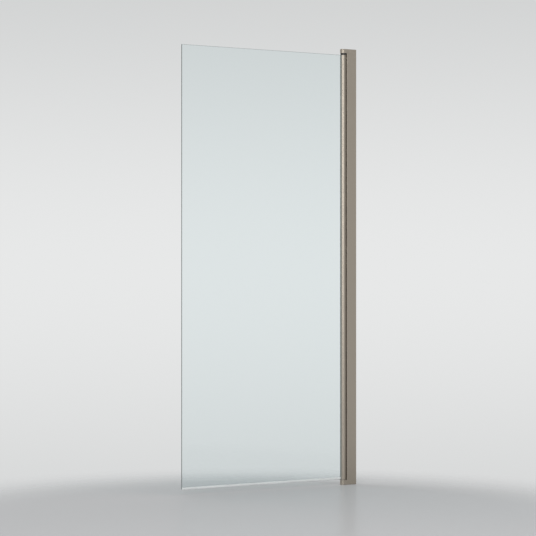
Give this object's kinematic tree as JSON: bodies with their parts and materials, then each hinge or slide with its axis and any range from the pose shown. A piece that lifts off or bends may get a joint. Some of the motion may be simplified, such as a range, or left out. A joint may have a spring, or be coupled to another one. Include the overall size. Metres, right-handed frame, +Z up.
{
  "type": "shower door",
  "caption": "Frameless glass swing door for a shower, with a round hinge tube on a wall post and lift cams that raise the door as it opens outward.",
  "frame": {"origin": "on the wall plane, at floor level, in the middle plane of the shut pane", "axes": "+X into the wall, so the shut door reaches out along -X; +Z up; -Y is the outside of the shower, to which the door opens"},
  "size_m": [0.89, 0.028, 2],
  "materials": {
    "bronze_anodised": "fine brushed and anodised, warm grey bronze",
    "mill_aluminium": "mill finish, hidden in the post",
    "clear_glass": "clear tempered glass with polished, slightly green edges",
    "dark_gasket": "matt black rubber",
    "clear_seal": "clear flexible plastic, slightly milky",
    "dark_plastic": "moulded, fine matt grain",
    "acetal": "natural low-friction plastic, slightly waxy",
    "steel": "plain stainless steel"
  },
  "bodies": {
    "wall_frame": {"wall_channel": "mill_aluminium", "post_profile": "bronze_anodised", "cover_strip": "bronze_anodised", "locking_screws": "steel", "post_seal": "dark_gasket", "top_bracket": "bronze_anodised", "top_bracket_screws": "steel", "top_bush": "acetal", "foot_block": "bronze_anodised", "foot_block_screws": "steel", "lower_pivot_pin": "steel", "lift_cam_fixed": "acetal"},
    "top_pivot": {"upper_pivot_pin": "steel", "pivot_spring": "steel"},
    "door": {"hinge_tube": "bronze_anodised", "glass_panel": "clear_glass", "outer_glazing_seal": "dark_gasket", "inner_glazing_wedge": "dark_gasket", "glass_setting_blocks": "dark_plastic", "tube_top_plug": "dark_plastic", "tube_bottom_plug": "dark_plastic", "tube_plug_screws": "steel", "lift_cam_moving": "acetal", "drip_seal": "clear_seal"}
  },
  "joints": [
    {"name": "door_swing", "type": "hinge", "parent": "wall_frame", "child": "top_pivot", "pos_m": [-0.062, 0, 1], "axis": [0, 0, 1], "range_deg": [0, 90]},
    {"name": "door_lift", "type": "slide", "parent": "top_pivot", "child": "door", "axis": [0, 0, 1], "range_m": [0, 0.006], "deforming": ["pivot_spring"]}
  ],
  "couplings": [
    {"joint": "door_lift", "follows": "door_swing", "m_per_rad": 0.003819}
  ]
}
